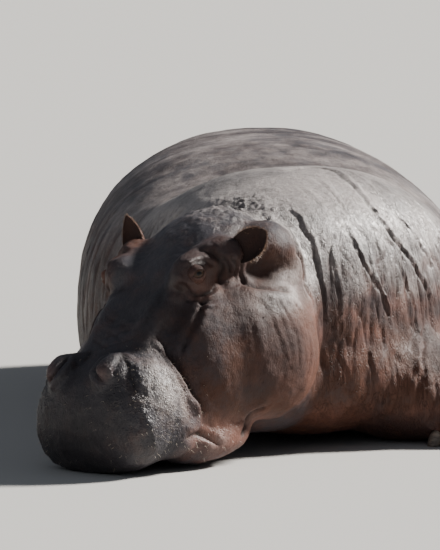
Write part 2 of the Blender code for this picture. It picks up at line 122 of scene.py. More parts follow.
def read_places(mesh):
    return read_vectors(mesh.vertices, "co")


def read_normals(mesh):
    return read_vectors(mesh.vertex_normals, "vector")


def write_places(mesh, places):
    mesh.vertices.foreach_set("co", places.astype(np.float32).ravel())
    mesh.update()


def write_attribute(mesh, name, values):
    layer = mesh.attributes.get(name) or mesh.attributes.new(name, "FLOAT", "POINT")
    layer.data.foreach_set("value", np.asarray(values, np.float32))


def metres(values):
    """Millimetres as metres."""
    return [round(value / 1000, 6) for value in values]


def soft_step(low, high, values):
    """Nothing at low and one at high, with a smooth rise. low may be above high."""
    t = np.clip((values - low) / (high - low), 0, 1)
    return t * t * (3 - 2 * t)


def bell(places, centre, radii):
    """One at the centre, falling to nothing past the radii."""
    away = (places - np.array(centre)) / np.array(radii)
    return np.exp(-(away**2).sum(axis=1))


def noise_at(places, scale, octaves=1, seed=0.0):
    """Smooth noise at each place, about -1 to 1. scale is one number or three, per metre."""
    spots = places * np.array(scale) + seed
    if octaves == 1:
        return np.array([noise.noise(p) for p in spots.tolist()])
    return np.array([noise.fractal(p, 1.0, 2.0, octaves) for p in spots.tolist()])


def new_object(name, data):
    made = bpy.data.objects.new(name, data)
    bpy.context.scene.collection.objects.link(made)
    return made


def mesh_of(net, name):
    """A mesh made of a bmesh, which is freed."""
    mesh = bpy.data.meshes.new(name)
    net.to_mesh(mesh)
    net.free()
    return mesh


def joined(name, meshes, merge=False):
    """One mesh of several. merge closes the seams between loose triangles."""
    net = bmesh.new()
    for mesh in meshes:
        net.from_mesh(mesh)
    if merge:
        bmesh.ops.remove_doubles(net, verts=net.verts, dist=1e-6)
    return mesh_of(net, name)


def shade_smooth(mesh):
    mesh.polygons.foreach_set("use_smooth", np.ones(len(mesh.polygons), bool))


def triangles_in(mesh):
    return sum(len(face.vertices) - 2 for face in mesh.polygons)


def apply_modifiers(obj):
    bpy.context.view_layer.update()
    graph = bpy.context.evaluated_depsgraph_get()
    baked = bpy.data.meshes.new_from_object(obj.evaluated_get(graph))
    obj.modifiers.clear()
    old = obj.data
    obj.data = baked
    bpy.data.meshes.remove(old)


# %% [markdown]
# ## One skin over the flesh
# The flesh solids are parted by thin cuts. Copies of them are joined, and a voxel remesh melts the cuts away
# and gives an even net of small squares.

# %% The fused flesh
FLESH = [n for n in nodes if not n.startswith(("eye_", "nail_", "ear_"))]
VOXEL = 0.0065  # the side of the net's squares
skin = new_object("skin", joined("flesh", [nodes[n].data for n in FLESH], merge=True))
fuse = skin.modifiers.new("fuse", "REMESH")
fuse.mode = "VOXEL"
fuse.voxel_size = VOXEL
apply_modifiers(skin)
print("fused net:", len(skin.data.vertices), "vertices")

# %% [markdown]
# ## A skin without facets
# The solids are faceted, so the net is smoothed until no facet shows: a lot on the trunk, where the facets
# are large, and a little on the head and feet, which are finer. Vertex groups say where and how much.

# %% The smoothing
def weigh(obj, name, weights):
    """A vertex group with these weights, rounded to sixteenths so that a few calls fill it."""
    group = obj.vertex_groups.new(name=name)
    steps = np.rint(np.clip(weights, 0, 1) * 16).astype(int)
    for step in range(1, 17):
        group.add(np.flatnonzero(steps == step).tolist(), step / 16, "REPLACE")


def smooth_skin(obj, name, weights, rounds):
    weigh(obj, name, weights)
    soften = obj.modifiers.new(name, "SMOOTH")
    soften.factor = 0.5
    soften.iterations = rounds
    soften.vertex_group = name
    apply_modifiers(obj)
    obj.vertex_groups.clear()


def foot_share(places):
    """One at the feet, which are small and need their toes."""
    return soft_step(0.20, 0.13, places[:, 2]) * soft_step(0.34, 0.38, np.abs(places[:, 0]))


def trunk_share(places, forward):
    share = soft_step(-0.02, -0.13, forward)
    tail = soft_step(1.50, 1.54, places[:, 1]) * soft_step(0.09, 0.06, np.abs(places[:, 0]))
    return share * (1 - foot_share(places)) * (1 - 0.9 * tail)


TRUNK_ROUNDS, ALL_ROUNDS = 100, 22  # of smoothing
places = read_places(skin.data)
smooth_skin(skin, "trunk", trunk_share(places, head_places(places)[:, 0]), TRUNK_ROUNDS)
places = read_places(skin.data)
smooth_skin(skin, "all", 1 - 0.7 * foot_share(places), ALL_ROUNDS)
places = read_places(skin.data)
print("smoothed, box now:", places.min(axis=0).round(3), places.max(axis=0).round(3))

# %% [markdown]
# ## Finer squares where the camera and the eye look
# The head and the front of the shoulders carry small folds, so their squares are cut in four. The rest keeps
# its larger ones. The new points are settled with two light rounds of smoothing.

# %% The finer net
def finer_where(obj, chosen):
    """Cuts the faces whose vertices are all chosen in four."""
    net = bmesh.new()
    net.from_mesh(obj.data)
    edges = [e for e in net.edges if chosen[e.verts[0].index] and chosen[e.verts[1].index]]
    bmesh.ops.subdivide_edges(net, edges=edges, cuts=1, use_grid_fill=True, smooth=0.0)
    net.to_mesh(obj.data)
    net.free()


finer_where(skin, places[:, 1] < BODY_START.y - 0.02)
places = read_places(skin.data)
smooth_skin(skin, "settle", (places[:, 1] < BODY_START.y).astype(float), 3)
print("finer net:", len(skin.data.vertices), "vertices")

# %% [markdown]
# ## Folds
# Thick skin folds where the body bends. A fold is a groove along a smooth path, with a rounded roll of skin
# on one side of it. Each path is named and has a few places, which are laid on the skin before the fold is
# pressed. The groove wanders a little, because skin does, and it thins out towards its ends. Every fold also
# leaves its mark in a map of creases, which the colours use later: by it the hide paints shade into the
# groove, and adds pink and takes away dust there.

# %% The fold tool
REACH = 6.5  # how far a fold is felt, in widths of its groove
ROLL_AWAY, ROLL_WIDE = 2.6, 2.0  # where its roll lies and how wide that is, in widths
SMALL_ROLL = 0.35  # the roll on the other side, as a share of the first
DARK_DEPTH = 0.006  # from here on a fold's mark is at its darkest
clay = SimpleNamespace(crease=())


def take_clay():
    """The skin's places and normals as they are now."""
    clay.places = read_places(skin.data)
    clay.normals = read_normals(skin.data)
    if len(clay.crease) != len(clay.places):
        clay.crease = np.zeros(len(clay.places))
    clay.push = np.zeros(len(clay.places))


def leave_clay():
    """Moves each vertex along its normal by what was asked of it."""
    write_places(skin.data, clay.places + clay.normals * clay.push[:, None])
    take_clay()


def curve_through(path, spacing):
    """A smooth curve through the places of a path."""
    knots = [Vector(p) for p in path]
    knots = [knots[0] * 2 - knots[1], *knots, knots[-1] * 2 - knots[-2]]
    made = []
    for a, b, c, d in zip(knots, knots[1:], knots[2:], knots[3:]):
        steps = max(2, int((c - b).length / spacing))
        for k in range(steps):
            t = k / steps
            made.append(0.5 * (2 * b + (c - a) * t + (2 * a - 5 * b + 4 * c - d) * t * t
                               + (3 * b - a - 3 * c + d) * t**3))
    return [*made, knots[-2]]


def on_skin(spots):
    """The nearest places on the skin."""
    found = []
    for spot in spots:
        hit, place, _, _ = skin.closest_point_on_mesh(spot)
        found.append(place if hit else spot)
    return found


def fold(path, width, depth, roll=0.0, side=1, wander=0.5, where=HEAD, ends=0.22):
    """Presses one fold. side says on which side of the path its roll lies, seen along the path."""
    spots = np.array(on_skin([where @ p for p in curve_through(path, max(0.003, 0.5 * width))]))
    along = np.gradient(spots, axis=0)
    along /= np.linalg.norm(along, axis=1)[:, None] + 1e-9
    reach = REACH * width
    low, high = spots.min(axis=0) - reach, spots.max(axis=0) + reach
    places = clay.places
    near = np.flatnonzero(((places > low) & (places < high)).all(axis=1))
    if not len(near):
        return
    gaps = places[near, None, :] - spots[None, :, :]
    distance = np.einsum("ijk,ijk->ij", gaps, gaps)
    closest = distance.argmin(axis=1)
    kept = distance[np.arange(len(near)), closest] < reach**2
    near, closest = near[kept], closest[kept]
    gap = places[near] - spots[closest]
    tangent = along[closest]
    normal = clay.normals[near]
    across = np.einsum("ij,ij->i", gap, np.cross(normal, tangent))
    beyond = np.einsum("ij,ij->i", gap, tangent)
    if wander:
        across = across + wander * width * noise_at(places[near], 0.16 / width, 2)
    share = closest / (len(spots) - 1)
    taper = soft_step(0, ends, share) * soft_step(1, 1 - ends, share)
    taper *= np.exp(-((beyond / (1.5 * width)) ** 2))
    groove = np.exp(-(np.hypot(across, 0.4 * width) - 0.4 * width) / width) * taper
    away, wide = ROLL_AWAY * width, ROLL_WIDE * width
    bulge = np.exp(-(((across * side - away) / wide) ** 2)) * taper
    bulge += SMALL_ROLL * np.exp(-(((across * side + away) / wide) ** 2)) * taper
    clay.push[near] += roll * bulge - depth * groove
    clay.crease[near] = np.maximum(clay.crease[near], groove * min(1.0, depth / DARK_DEPTH))


def swell(centre, radii, amount, where=HEAD):
    """Raises a soft swelling, or sinks a hollow where the amount is below nothing."""
    centre = where @ Vector(centre)
    turned = (clay.places - np.array(centre)) @ np.array(where.to_3x3())
    clay.push += amount * np.exp(-((turned / np.array(radii)) ** 2).sum(axis=1))


# %% [markdown]
# ## The forms of the head
# Before the folds come the larger forms that the solids only hint at: the sunken cheek in front of the jowl,
# the hollow behind the ear, the raised corner of the lip pad, and the mounds over the nostrils.

# %% Swellings and hollows
SWELLINGS = (  # centre, radii and height, in millimetres
    ((520, 124, 318), (44, 36, 36), 23),  # raised corner of the lip pad
    ((480, 206, 140), (30, 30, 35), 8),  # its lower corner
    ((690, 98, 306), (34, 34, 34), 7),  # nostril mound
    ((115, 232, 422), (70, 50, 32), -32),  # hollow behind the ear
    ((300, 188, 385), (60, 30, 26), -6),  # below the brow
    ((440, 190, 300), (20, 40, 80), -7),  # in front of the cheek
    ((240, 150, 545), (50, 40, 30), 6),  # root of the ear
    ((150, 275, 235), (90, 60, 110), 8),  # fullness of the jowl
)
take_clay()
for side in (1, -1):
    for (x, y, z), radii, amount in SWELLINGS:
        swell(metres((x, side * y, z)), metres(radii), amount / 1000)
    swell(EYE_PLACE[side] + Vector((0.010, side * 0.018, -0.002)), (0.040, 0.040, 0.036), 0.0035)
leave_clay()
print("swellings and hollows:", 2 * (len(SWELLINGS) + 1))

# %% [markdown]
# ## The folds of the head
# Bags hang under the eye, folds gather before the ear, the cheek folds over the lip pad, and the mouth is one
# long groove. Each is written once, for the left half, and mirrored. The eye's folds are placed from its
# middle, because the two eyes don't lie quite alike.

# %% The folds of the head
EYE_FOLDS = {  # all in millimetres
    # name: (path from the eye's centre, width, depth, roll, side)
    "eye_bag": ([(45, -42, -2), (39, -26, -25), (22, -14, -50), (-4, 0, -62), (-39, 8, -56),
        (-63, 10, -35)], 5, 6, 4.5, -1),
    "second_bag": ([(51, -61, -20), (40, -41, -40), (21, -18, -75), (-2, 14, -85),
        (-42, 26, -80)], 5.8, 6.5, 4, -1),
    "third_bag": ([(38, -6, -85), (15, 19, -102), (-17, 34, -105)], 5, 3.5, 2, -1),
    "brow": ([(25, -26, 20), (12, -7, 28), (-9, 2, 32), (-35, 6, 27), (-55, 16, 8),
        (-65, 18, -16)], 4.5, 5, 3.5, 1),
    "temple": ([(-47, -36, 48), (-77, -1, 32), (-89, 14, 0), (-85, 12, -30), (-62, 14, -60)], 7, 9, 4.5, 1),
}
HEAD_FOLDS = {
    # name: (path, width, depth, roll, side)
    "ear_fold_1": ([(250, 190, 505), (240, 200, 470), (235, 194, 425)], 5, 7.5, 4.5, 1),
    "ear_fold_2": ([(232, 200, 500), (220, 206, 462), (216, 200, 414)], 5, 8, 5, 1),
    "ear_fold_3": ([(205, 202, 480), (190, 204, 450), (196, 210, 404)], 5.5, 8, 5, 1),
    "cheek_fold": ([(320, 185, 412), (348, 183, 401), (378, 190, 376), (408, 192, 350), (440, 184, 325),
        (464, 180, 292), (480, 176, 262)], 6, 8, 4, 1),
    "face_groove": ([(365, 70, 470), (428, 100, 428), (477, 101, 398), (512, 87, 366)], 12, 6, 3, 1),
    "pad_edge": ([(480, 100, 345), (486, 130, 312), (490, 168, 262), (484, 190, 205), (464, 200, 155),
        (458, 198, 120), (470, 198, 90)], 8, 16, 11, -1),
    "pad_rim": ([(520, 112, 322), (522, 150, 285), (522, 190, 225), (506, 204, 165)], 6, 4.5, 2, -1),
    "pad_inner": ([(590, 85, 340), (622, 120, 325), (640, 145, 292), (657, 165, 255),
        (664, 186, 220)], 7, 6, 3.5, 1),
    "nose_groove": ([(560, 60, 340), (600, 40, 325), (650, 42, 312), (690, 45, 290),
        (715, 50, 255)], 10, 7, 3, 1),
    "nostril_slit": ([(630, 80, 336), (668, 68, 326), (697, 72, 307), (712, 92, 284),
        (702, 116, 270)], 6, 17, 8, -1),
    "nostril_back": ([(622, 106, 334), (650, 128, 322), (678, 136, 300), (690, 132, 282)], 6, 8, 4, -1),
    "mouth": ([(560, 205, 70), (520, 205, 66), (480, 196, 60), (452, 188, 46), (425, 190, 24),
        (405, 190, -4)], 7.5, 11, 4.2, 1),
    "lip_corner": ([(470, 186, 98), (440, 188, 80), (412, 194, 56)], 6, 3, 1.2, 1),
    "lower_lip": ([(500, 190, 40), (470, 190, 24), (448, 190, 0)], 6, 2.7, 1.5, 1),
    "chin_fold": ([(330, 190, 0), (300, 205, 18), (262, 222, 40), (225, 235, 55)], 8, 9, 5, 1),
    "hollow_edge": ([(212, 204, 440), (185, 222, 404), (153, 246, 382), (103, 258, 366),
        (50, 262, 345)], 11, 10, 9, -1),
    "jowl_line_1": ([(235, 240, 372), (203, 258, 344), (200, 278, 294), (198, 287, 228),
        (191, 281, 155)], 5, 1.5, 0.9, 1),
    "jowl_line_2": ([(165, 250, 362), (154, 263, 344), (144, 282, 298), (138, 290, 239), (141, 289, 169),
        (150, 275, 115)], 5, 1.7, 1, 1),
    "jowl_line_3": ([(118, 258, 352), (100, 268, 328), (75, 278, 269), (77, 285, 207), (89, 277, 139),
        (117, 266, 91)], 5, 1.8, 1.1, 1),
    "jowl_line_4": ([(261, 236, 375), (267, 263, 320), (275, 272, 251), (280, 265, 182)], 6, 1.4, 0.8, 1),
    "bridge_1": ([(544, -50, 349), (522, 10, 360), (500, 80, 371)], 4.5, 2.5, 1.5, 1),
    "bridge_2": ([(584, -30, 332), (556, 30, 342), (524, 90, 352)], 4.5, 2.5, 1.5, 1),
    "bridge_3": ([(505, -40, 372), (485, 20, 385), (470, 80, 395)], 4.5, 2, 1.2, 1),
}
take_clay()
for half in (1, -1):
    for path, *sizes, side in EYE_FOLDS.values():
        path = [EYE_PLACE[half] + Vector((x, half * y, z)) for x, y, z in map(metres, path)]
        fold(path, *metres(sizes), half * side)
    for path, *sizes, side in HEAD_FOLDS.values():
        fold([(x, half * y, z) for x, y, z in map(metres, path)], *metres(sizes), half * side)
leave_clay()
print("folds of the head:", 2 * (len(EYE_FOLDS) + len(HEAD_FOLDS)))

# %% [markdown]
# ## The folds of the trunk
# Behind the turned head the neck is pressed into crescents. A long crease hoops over the withers and down
# behind the shoulder, and the flank hangs in short upright wrinkles.

# %% The folds of neck, shoulder and flank
BODY_FOLDS = {  # in millimetres from the withers
    "nape_crescent": ([(-140, -440, 670), (-100, -460, 665), (-60, -520, 650), (-30, -580, 620),
        (-15, -600, 570), (-5, -580, 520), (0, -570, 460), (10, -550, 400)], 13, 17, 9, 1),
    "nape_second": ([(-60, -380, 700), (-20, -440, 665), (10, -470, 615), (30, -490, 550), (45, -500, 485),
        (60, -500, 400)], 10, 9, 5, 1),
    "hoop": ([(-100, -200, 750), (-20, -100, 775), (80, -60, 770), (140, -170, 750), (190, -260, 690),
        (240, -290, 620), (300, -270, 550), (350, -230, 470), (385, -190, 400),
        (410, -160, 340)], 11, 13, 7, 1),
    "hoop_second": ([(50, 20, 780), (140, -40, 765), (220, -170, 720), (280, -210, 660), (330, -200, 600),
        (380, -170, 510), (420, -120, 430)], 9, 6, 3.5, 1),
    "hoop_third": ([(160, 120, 760), (260, 30, 720), (340, -30, 640), (400, -50, 550),
        (440, -40, 460)], 9, 5, 3, 1),
    "flank_1": ([(110, -390, 640), (140, -410, 600), (170, -420, 540), (200, -410, 490), (230, -380, 430),
        (250, -360, 360), (250, -370, 300)], 9, 10, 5.5, 1),
    "flank_2": ([(70, -460, 580), (90, -480, 510), (100, -480, 440), (100, -480, 370),
        (110, -480, 300)], 8, 6, 4, 1),
    "flank_3": ([(270, -300, 540), (310, -290, 450), (330, -270, 380), (340, -280, 290)], 8, 7, 4, 1),
    "flank_4": ([(200, -380, 540), (225, -385, 480), (245, -370, 430), (270, -350, 380)], 6, 7, 4, -1),
    "low_1": ([(90, -490, 290), (120, -480, 220), (140, -460, 150), (140, -400, 80)], 10, 7, 4, 1),
    "low_2": ([(170, -440, 300), (200, -440, 230), (210, -410, 140), (210, -350, 80)], 10, 8, 4.5, 1),
    "armpit": ([(360, -220, 330), (345, -290, 270), (345, -360, 210), (330, -390, 140)], 11, 10, 6, -1),
    "back_1": ([(-20, -260, 750), (50, -380, 690), (80, -430, 630)], 8, 4, 2.5, 1),
    "back_2": ([(40, -200, 760), (110, -330, 700), (140, -380, 640)], 8, 4.5, 2.5, 1),
}
BOTH_SIDES = {  # on the left side, and mirrored on the right
    "haunch": ([(400, 1240, 660), (520, 1220, 520), (580, 1220, 360), (560, 1200, 200)], 18, 13, 7, -1),
    "shoulder": ([(440, 460, 620), (540, 500, 480), (570, 500, 340), (540, 460, 200)], 16, 9, 5, 1),
    "thigh": ([(300, 1950, 500), (420, 1880, 360), (500, 1780, 240), (530, 1660, 150)], 13, 11, 6, 1),
    "tail_side": ([(75, 1980, 620), (90, 2050, 500), (80, 2080, 360), (50, 2050, 240)], 12, 11, 6, 1),
}
RIB_FOLDS = (620, 780, 950, 1140, 1300)  # how far behind the withers
for flip in (1, -1):
    for k, y in enumerate(RIB_FOLDS):
        lean = 50 * (k - 2)
        path = [(500, y + lean, 560), (580, y, 440), (600, y - 0.5 * lean, 300), (560, y - lean, 160)]
        BODY_FOLDS[f"rib_{k}_{flip}"] = ([(flip * x, y, z) for x, y, z in path], 11, 4.5 + 1.2 * k, 3, flip)
    for name, (path, *sizes, side) in BOTH_SIDES.items():
        BODY_FOLDS[f"{name}_{flip}"] = ([(flip * x, y, z) for x, y, z in path], *sizes, flip * side)
BODY_FOLDS["right_shoulder"] = (
    [(-300, -240, 690), (-380, -140, 620), (-440, -60, 520), (-470, -40, 400)], 12, 12, 6, -1)
BODY_FOLDS["right_neck"] = (
    [(-260, -360, 690), (-360, -300, 600), (-420, -240, 480), (-440, -200, 340)], 12, 14, 7, -1)
FINENESS = np.array((0.46, 0.34, 0.60))  # of width, depth and roll: the trunk's folds are slight
take_clay()
for path, *sizes, side in BODY_FOLDS.values():
    fold([metres(place) for place in path], *(FINENESS * metres(sizes)), side, wander=1.6, where=BODY)
leave_clay()
print("folds of the body:", len(BODY_FOLDS))

# %% [markdown]
# ## Wrinkles and warts
# Between the named folds the skin is never plain. Four kinds of relief cover it, each from smooth noise:
# upright wrinkles on neck and flanks, where noise that is stretched downwards crosses nothing; faint lines on
# the face and the jowls; a crust of small warts on the nape and the lip pads; and a gentle unevenness.

# %% The small relief
NAPE = ((-0.20, -0.46, 0.69), (0.13, 0.16, 0.06))  # centre and radii, from the withers
UNEVENNESS = 0.0016
NECK_WRINKLE, NECK_LINE, TRUNK_WRINKLE = 0.0052, 0.0022, 0.0050  # how deep
JOWL_LINE, FACE_LINE = 0.0011, 0.0013
PAD_WART, PAD_GRAIN, NAPE_CRUST = 0.0030, 0.0016, 0.0065  # how high
NECK_TURN = math.radians(-24)  # of the neck's wrinkles, which run round the turned neck


def creased(values, sharpness):
    """One along the lines where smooth noise crosses nothing, and less away from them."""
    return np.exp(-np.abs(values) * sharpness)


def on_both(places, centre, radii, gain):
    """A soft patch on each half of the head, flattened at its top."""
    mirror = np.array((1, -1, 1))
    return np.clip(gain * (bell(places, centre, radii) + bell(places, centre * mirror, radii)), 0, 1)


take_clay()
places = clay.places
in_head = head_places(places)
from_withers = places - np.array(BODY_START)
forward, left, up = in_head.T
fine_zone = places[:, 1] < BODY_START.y + 0.02
neck_share = soft_step(0.02, -0.06, forward) * soft_step(0.10, -0.10, from_withers[:, 1])
trunk_only = soft_step(-0.05, -0.14, forward)
upright = soft_step(0.75, 0.30, np.abs(clay.normals[:, 2]))  # steep sides carry more than the back
pads = on_both(in_head, (0.600, 0.170, 0.200), (0.110, 0.075, 0.120), 1.6)
nape = np.clip(1.5 * bell(from_withers, *NAPE), 0, 1)
jowls = on_both(in_head, (0.15, 0.27, 0.23), (0.16, 0.07, 0.16), 1.3)

push = UNEVENNESS * noise_at(places, 14.0, 3)
turned = from_withers @ np.array(Matrix.Rotation(NECK_TURN, 3, "Z"))
near = np.flatnonzero((neck_share > 0.01) & fine_zone)
lines = creased(noise_at(turned[near], (19, 19, 3.4), 2), 5.0)
fine_lines = creased(noise_at(turned[near], (46, 46, 8.0), 2, 7.0), 4.0)
wrinkles = NECK_WRINKLE * lines + NECK_LINE * fine_lines
push[near] -= neck_share[near] * (0.25 + 0.75 * upright[near]) * wrinkles
# The wrinkles also mark the crease map, by which the hide paints shade into them.
clay.crease[near] = np.maximum(clay.crease[near], 0.55 * neck_share[near] * lines * upright[near])
far = np.flatnonzero((trunk_only > 0.01) & ~((neck_share > 0.99) & fine_zone))
lines = creased(noise_at(from_withers[far], (3.2, 13, 2.6), 2, 3.0), 4.5)
share = trunk_only[far] * (1 - neck_share[far]) * (0.30 + 0.70 * upright[far])
push[far] -= TRUNK_WRINKLE * share * lines
clay.crease[far] = np.maximum(clay.crease[far], 0.4 * share * lines)
near = np.flatnonzero(pads > 0.02)
knobs = PAD_WART * noise_at(in_head[near], 62, 2, 5.0) + PAD_GRAIN * noise_at(in_head[near], 130, 1)
push[near] += pads[near] * knobs
near = np.flatnonzero(nape > 0.02)
push[near] += nape[near] * NAPE_CRUST * np.abs(noise_at(places[near], 55, 2, 9.0))
near = np.flatnonzero(jowls > 0.02)
push[near] -= jowls[near] * JOWL_LINE * creased(noise_at(in_head[near], (56, 32, 11), 2, 2.0), 4.0)
face = np.flatnonzero((forward > 0.0) & (pads < 0.5))
push[face] -= FACE_LINE * creased(noise_at(in_head[face], (34, 34, 34), 2, 11.0), 4.0)
clay.push += push
leave_clay()
print("relief from", round(float(push.min()) * 1000, 1), "to", round(float(push.max()) * 1000, 1), "mm")

# %% [markdown]
# ## Fewer triangles
# The net has more squares than it needs. Thinning keeps the form and spends the triangles where the weights
# ask for them: on the head, less on the neck, and least under the belly.

# %% The thinned skin
SKIN_TRIANGLES = 173_000
WEIGHT_FORCE = 0.0004  # how strongly the weights steer the thinning
places = read_places(skin.data)
from_withers = places - np.array(BODY_START)
forward = head_places(places)[:, 0]
wanted = np.maximum(soft_step(-0.08, 0.04, forward), 0.4 * soft_step(0.15, -0.30, from_withers[:, 1]))
spare = np.maximum(1 - 0.9 * wanted, soft_step(0.03, 0.0, places[:, 2]))  # one goes first
weigh(skin, "spare", np.clip(spare, 0.05, 1))
thin = skin.modifiers.new("thin", "DECIMATE")
faces_now = triangles_in(skin.data)
thin.ratio = SKIN_TRIANGLES / faces_now
thin.vertex_group = "spare"
thin.vertex_group_factor = WEIGHT_FORCE
before = kdtree.KDTree(len(places))
for index, place in enumerate(places.tolist()):
    before.insert(place, index)
before.balance()
apply_modifiers(skin)
skin.vertex_groups.clear()
places = read_places(skin.data)
nearest = np.array([before.find(place)[1] for place in places.tolist()])
crease = clay.crease[nearest]
print("thinned from", faces_now, "to", triangles_in(skin.data), "triangles")

# %% [markdown]
# ## Eyelids
# A lid is a shell that lies on the eyeball. It starts as a flat grid: one way it runs from corner to corner
# of the eye, like a degree of latitude, and the other way from the lid's edge round to the back, like a
# degree of longitude. The edge bulges away from the line of the corners, which opens the eye. Away from its
# edge the shell comes down to the skin and runs out in it, and then it gets its thickness.

# %% The lids
EYE_RADIUS = 0.0236
LID_RADIUS = 0.0268
LID_THICK = 0.0042
GAZE = Vector((0.50, 0.84, 0.14)).normalized()  # where the left eye looks
CORNERS = Vector((0.80, -0.50, -0.22))  # from the rear corner of the eye to the front one
UPPER_LID, LOWER_LID = 23, -27  # how far each lid's edge is from the gaze, in degrees
LID_REACH = 72  # how far back a lid runs from the gaze, in degrees
LID_CORNER = 0.60  # how far the corners are from the middle, as a share of the ball's radius
LID_SPAN = 0.93  # how far a lid runs on past the corners, by the same measure
LID_ROOT = 0.0008  # how deep a lid's far edge lies under the skin


def eye_frame(side):
    """+X out along the gaze, +Z along the line of the corners, in the head."""
    gaze = Vector((GAZE.x, side * GAZE.y, GAZE.z))
    corners = Vector((CORNERS.x, side * CORNERS.y, CORNERS.z))
    z = (corners - gaze * corners.dot(gaze)).normalized()
    y = z.cross(gaze)
    if y.z < 0:  # +Y is up on both sides
        y, z = -y, -z
    return HEAD @ Matrix.Translation(EYE_PLACE[side]) @ Matrix((gaze, y, z)).transposed().to_4x4()


def lid(side, opening):
    """One lid over one eye. The upper one opens upwards, by a positive angle."""
    frame_here = eye_frame(side)
    shell = bmesh.new()
    bmesh.ops.create_grid(shell, x_segments=20, y_segments=7, size=1)
    for vert in shell.verts:
        along, back = LID_SPAN * vert.co.x, 0.5 + 0.5 * vert.co.y
        edge = opening * math.sqrt(max(0.0, 1 - (along / LID_CORNER) ** 2))
        angle = math.radians(edge + back * (math.copysign(LID_REACH, opening) - edge))
        from_axis = math.sqrt(1 - along**2)
        way = Vector((math.cos(angle) * from_axis, math.sin(angle) * from_axis, along))
        on_ball = frame_here @ (way * LID_RADIUS)
        _, on_hide, out, _ = skin.closest_point_on_mesh(on_ball)
        spread = min(1.0, max(0.0, (0.82 - way.x) / 0.40))
        vert.co = on_ball.lerp(on_hide - LID_ROOT * out, spread * spread * (3 - 2 * spread))
    inner = bmesh.ops.extrude_face_region(shell, geom=shell.faces)["geom"]
    for vert in (v for v in inner if isinstance(v, bmesh.types.BMVert)):
        vert.co = vert.co.lerp(frame_here.translation, LID_THICK / LID_RADIUS)
    bmesh.ops.recalc_face_normals(shell, faces=shell.faces)
    return mesh_of(shell, "lid")


def rounded(mesh, levels):
    """The mesh after this many levels of subdivision."""
    soft = new_object("rounded", mesh)
    subdivide = soft.modifiers.new("round", "SUBSURF")
    subdivide.levels = subdivide.render_levels = levels
    apply_modifiers(soft)
    made = soft.data
    bpy.data.objects.remove(soft)
    return made


lid_meshes = [rounded(lid(side, edge), 1) for side in (1, -1) for edge in (UPPER_LID, LOWER_LID)]
print("lids:", [len(m.polygons) for m in lid_meshes])

# %% [markdown]
# ## Ears
# The ear's solid is already a cupped leaf. A copy is merged and subdivided, which rounds its rim, and takes
# the skin's material with it.

# %% The ears
EARS = {  # side: root, the way along it, the way its opening looks
    1: ((0.200, 0.203, 0.495), (-0.16, 0.87, 0.40), (0.86, 0.25, 0.10)),
    -1: ((0.215, -0.182, 0.497), (-0.33, -0.19, 0.90), (0.88, -0.10, 0.40)),
}


def ear_frame(side):
    """+X along the ear, +Y across it, +Z out of its open side."""
    root, along, open_to = (Vector(v) for v in EARS[side])
    x = along.normalized()
    z = (open_to - x * open_to.dot(x)).normalized()
    return HEAD @ Matrix.Translation(root) @ Matrix((x, z.cross(x), z)).transposed().to_4x4()


ear_meshes = [rounded(joined(word, [nodes[word].data], merge=True), 2) for word in ("ear_left", "ear_right")]
print("ears:", [len(m.polygons) for m in ear_meshes])

# %% [markdown]
# ## One skin with its lids and ears
# Lids and ears become part of the skin's own mesh, so that colour and relief run on over them.

# %% Joining
first = len(skin.data.vertices)
skin.data = joined("skin", [skin.data, *lid_meshes, *ear_meshes])
shade_smooth(skin.data)
crease = np.concatenate([crease, np.zeros(len(skin.data.vertices) - first)])
lid_count = sum(len(m.vertices) for m in lid_meshes)
number = np.arange(len(crease))
is_lid = (number >= first) & (number < first + lid_count)
is_ear = number >= first + lid_count
print("skin:", len(number), "vertices,", triangles_in(skin.data), "triangles")

# %% [markdown]
# ## Where the colours lie
# A hippopotamus is slate grey above and flushed pink-brown below, round its eyes, in its ears and along its
# lips. Mud dries pale on its back and lip pads; the same pale map also paints highlight on the front of the
# shoulders, the top of the jowls and the lip pad's ridge. A further map paints shade into the hollows, the
# insides of the ears and the right eye's mound. Each of these is a soft map over the skin's vertices, from
# places and slopes, and the material mixes its colours by them. Painting by hand would do as well, but a map
# that is worked out can be read and changed.

# %% What the maps are made of
places, normals = read_places(skin.data), read_normals(skin.data)
in_head = head_places(places)
from_withers = places - np.array(BODY_START)
forward, left, up = in_head.T
height = places[:, 2]
both = np.column_stack([forward, np.abs(left), up])
on_head = soft_step(-0.06, 0.02, forward)
off_head = 1 - on_head
low = soft_step(0.62, 0.25, height)
front = soft_step(0.25, -0.20, from_withers[:, 1])
mottle = noise_at(places, 3.1, 3, 4.0)
small_mottle = noise_at(places, 13.0, 3, 8.0)
# The right eye's mound, which gets painted shade: less brown and darker.
right_eye_shade = bell(in_head, (0.340, -0.170, 0.450), (0.090, 0.070, 0.080))
print("vertices on the head:", int(on_head.sum()))


def spots(*rows):
    """Soft spots on both halves of the head: rows of centre and radii in millimetres, and percent."""
    return sum(share / 100 * bell(both, metres(centre), metres(radii)) for centre, radii, share in rows)


# %% Warm brown and pink flush
warm = 0.28 + 0.30 * mottle + spots(
    ((170, 270, 200), (240, 130, 240), 95), ((330, 170, 460), (80, 70, 70), 65),
    ((360, 200, 100), (140, 100, 100), 60), ((200, 190, 460), (100, 70, 80), 50),
    ((100, 250, 420), (90, 70, 60), 50))
warm += off_head * low * (0.18 + 0.50 * front)
warm -= on_head * soft_step(0.34, 0.46, up) * soft_step(0.13, 0.07, np.abs(left)) * 0.6
warm -= on_head * soft_step(0.50, 0.62, forward) * 0.35
# Painted shade: the right eye's mound loses its brown.
warm += 0.55 * is_ear + 0.3 * is_lid - 0.45 * right_eye_shade

